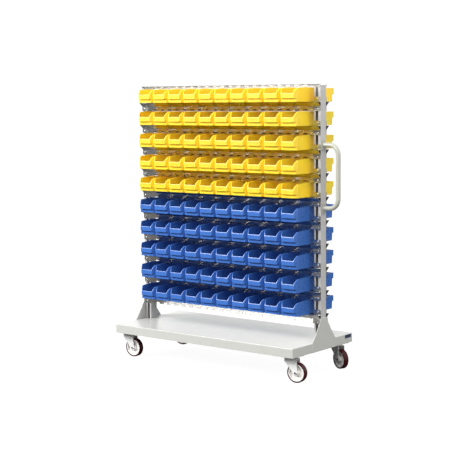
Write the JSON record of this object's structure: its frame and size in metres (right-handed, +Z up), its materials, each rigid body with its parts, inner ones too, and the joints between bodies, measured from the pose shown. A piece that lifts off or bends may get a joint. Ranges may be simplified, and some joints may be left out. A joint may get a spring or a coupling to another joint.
{
  "type": "mobile bin cart",
  "caption": "Mobile bin cart: slim open-fronted shelf bins, yellow above and blue below, on rails between channel posts over a tray with swivel casters and a side push handle.",
  "frame": {"origin": "on the floor, in the middle of the box around the whole cart, which is 47 mm towards the handle from the middle of the tray", "axes": "+Z up, the open fronts of the bins face -Y, the push handle is at the +X end"},
  "size_m": [1.2606, 0.528, 1.4411],
  "materials": {
    "bin_yellow": "moulded polypropylene, satin to glossy",
    "bin_blue": "moulded polypropylene, satin to glossy",
    "tray_paint": "light grey powder coat, smooth and glossy",
    "post_paint": "grey coat on a lipped steel channel",
    "rail_zinc": "zinc plated, satin",
    "handle_coat": "grey coat on round tube",
    "caster_zinc": "bright zinc plated pressings",
    "wheel_cream": "moulded polyamide",
    "tread_maroon": "dark maroon polyurethane, satin"
  },
  "bodies": {
    "cart": {"base_tray": "tray_paint", "right_post": "post_paint", "left_post": "post_paint", "right_gusset": "tray_paint", "left_gusset": "tray_paint", "push_handle": "handle_coat", "front_rail_01": "rail_zinc", "front_rail_02": "rail_zinc", "front_rail_03": "rail_zinc", "front_rail_04": "rail_zinc", "front_rail_05": "rail_zinc", "front_rail_06": "rail_zinc", "front_rail_07": "rail_zinc", "front_rail_08": "rail_zinc", "front_rail_09": "rail_zinc", "front_rail_10": "rail_zinc", "rear_rail_01": "rail_zinc", "rear_rail_02": "rail_zinc", "rear_rail_03": "rail_zinc", "rear_rail_04": "rail_zinc", "rear_rail_05": "rail_zinc", "rear_rail_06": "rail_zinc", "rear_rail_07": "rail_zinc", "rear_rail_08": "rail_zinc", "rear_rail_09": "rail_zinc", "rear_rail_10": "rail_zinc", "front_top_strip": "rail_zinc", "rear_top_strip": "rail_zinc", "bin_row_01": "bin_yellow", "bin_row_02": "bin_yellow", "bin_row_03": "bin_yellow", "bin_row_04": "bin_yellow", "bin_row_05": "bin_yellow", "bin_row_06": "bin_blue", "bin_row_07": "bin_blue", "bin_row_08": "bin_blue", "bin_row_09": "bin_blue", "bin_row_10": "bin_blue", "caster_front_right_plate": "caster_zinc", "caster_front_left_plate": "caster_zinc", "caster_rear_right_plate": "caster_zinc", "caster_rear_left_plate": "caster_zinc"},
    "front_right_swivel": {"caster_front_right_fork": "caster_zinc", "caster_front_right_axle": "caster_zinc"},
    "front_right_wheel": {"caster_front_right_wheel_core": "wheel_cream", "caster_front_right_tread": "tread_maroon"},
    "front_left_swivel": {"caster_front_left_fork": "caster_zinc", "caster_front_left_axle": "caster_zinc"},
    "front_left_wheel": {"caster_front_left_wheel_core": "wheel_cream", "caster_front_left_tread": "tread_maroon"},
    "rear_right_swivel": {"caster_rear_right_fork": "caster_zinc", "caster_rear_right_axle": "caster_zinc"},
    "rear_right_wheel": {"caster_rear_right_wheel_core": "wheel_cream", "caster_rear_right_tread": "tread_maroon"},
    "rear_left_swivel": {"caster_rear_left_fork": "caster_zinc", "caster_rear_left_axle": "caster_zinc"},
    "rear_left_wheel": {"caster_rear_left_wheel_core": "wheel_cream", "caster_rear_left_tread": "tread_maroon"},
    "yellow_bin": {"slide_bin_yellow": "bin_yellow"},
    "blue_bin": {"slide_bin_blue": "bin_blue"}
  },
  "joints": [
    {"name": "front_right_swivel_turn", "type": "hinge", "parent": "cart", "child": "front_right_swivel", "pos_m": [0.486, -0.2, 0.1197], "axis": [0, 0, 1], "continuous": true},
    {"name": "front_right_wheel_spin", "type": "hinge", "parent": "front_right_swivel", "child": "front_right_wheel", "pos_m": [0.51181, -0.19683, 0.04957], "axis": [-0.1219, 0.9925, 0], "continuous": true},
    {"name": "front_left_swivel_turn", "type": "hinge", "parent": "cart", "child": "front_left_swivel", "pos_m": [-0.58, -0.2, 0.1197], "axis": [0, 0, 1], "continuous": true},
    {"name": "front_left_wheel_spin", "type": "hinge", "parent": "front_left_swivel", "child": "front_left_wheel", "pos_m": [-0.55406, -0.19819, 0.04957], "axis": [-0.0698, 0.9976, 0], "continuous": true},
    {"name": "rear_right_swivel_turn", "type": "hinge", "parent": "cart", "child": "rear_right_swivel", "pos_m": [0.486, 0.2, 0.1197], "axis": [0, 0, 1], "continuous": true},
    {"name": "rear_right_wheel_spin", "type": "hinge", "parent": "rear_right_swivel", "child": "rear_right_wheel", "pos_m": [0.51043, 0.19111, 0.04957], "axis": [0.342, 0.9397, 0], "continuous": true},
    {"name": "rear_left_swivel_turn", "type": "hinge", "parent": "cart", "child": "rear_left_swivel", "pos_m": [-0.58, 0.2, 0.1197], "axis": [0, 0, 1], "continuous": true},
    {"name": "rear_left_wheel_spin", "type": "hinge", "parent": "rear_left_swivel", "child": "rear_left_wheel", "pos_m": [-0.55457, 0.20541, 0.04957], "axis": [-0.2079, 0.9781, 0], "continuous": true},
    {"name": "yellow_bin_slide", "type": "slide", "parent": "cart", "child": "yellow_bin", "axis": [0, -1, 0], "range_m": [0, 0.26]},
    {"name": "blue_bin_slide", "type": "slide", "parent": "cart", "child": "blue_bin", "axis": [0, -1, 0], "range_m": [0, 0.26]}
  ]
}
